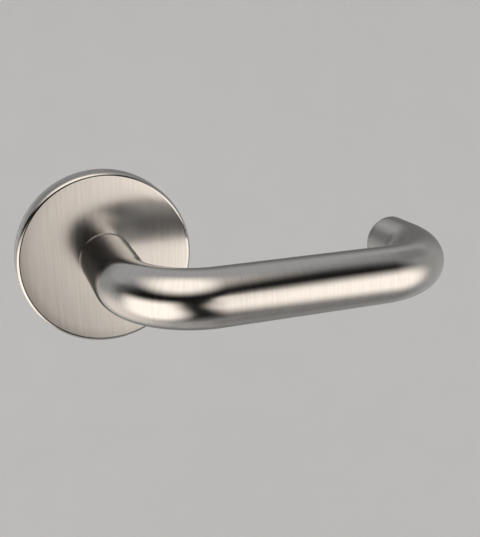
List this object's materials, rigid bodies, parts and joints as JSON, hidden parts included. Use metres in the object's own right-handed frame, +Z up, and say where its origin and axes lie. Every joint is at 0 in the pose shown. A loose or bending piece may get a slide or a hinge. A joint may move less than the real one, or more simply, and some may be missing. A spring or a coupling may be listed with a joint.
{
  "type": "door lever handle",
  "caption": "Round-tube return lever on a plain round rose: turns a square spindle through a door and springs back level.",
  "frame": {"origin": "on the spindle axis at the door face", "axes": "+X along the lever, +Y into the door along the spindle, +Z up"},
  "size_m": [0.155, 0.1245, 0.066],
  "materials": {
    "satin_stainless": "satin brushed stainless steel",
    "turned_steel": "turned and milled steel",
    "black_oxide": "black oxide steel",
    "zinc_plate": "zinc-plated steel",
    "spring_steel": "oiled spring steel",
    "die_cast": "die-cast zinc, as cast",
    "bearing_nylon": "natural white nylon",
    "bumper_rubber": "black rubber"
  },
  "bodies": {
    "rose": {"cover_rose": "satin_stainless", "cover_snap_ring": "spring_steel", "mounting_plate": "zinc_plate", "housing_screws": "zinc_plate", "spring_housing": "die_cast", "front_bush": "bearing_nylon", "rear_bush": "bearing_nylon", "return_spring": "spring_steel", "spring_anchor_pin": "turned_steel", "stop_pins": "turned_steel", "stop_bumpers": "bumper_rubber", "fixing_bolts": "zinc_plate", "bolt_lock_washers": "zinc_plate"},
    "lever": {"lever_tube": "satin_stainless", "return_end_cap": "satin_stainless", "neck_core": "turned_steel", "grub_screw": "black_oxide", "spindle": "zinc_plate", "drive_plate": "zinc_plate", "disc_spring": "spring_steel", "circlip": "spring_steel"}
  },
  "joints": [
    {"name": "lever_turn", "type": "hinge", "parent": "rose", "child": "lever", "pos_m": [0, 0, 0], "axis": [0, 1, 0], "range_deg": [0, 45], "stiffness_Nm_per_rad": 0.68, "springref_deg": -60.16, "deforming": ["return_spring"]}
  ]
}
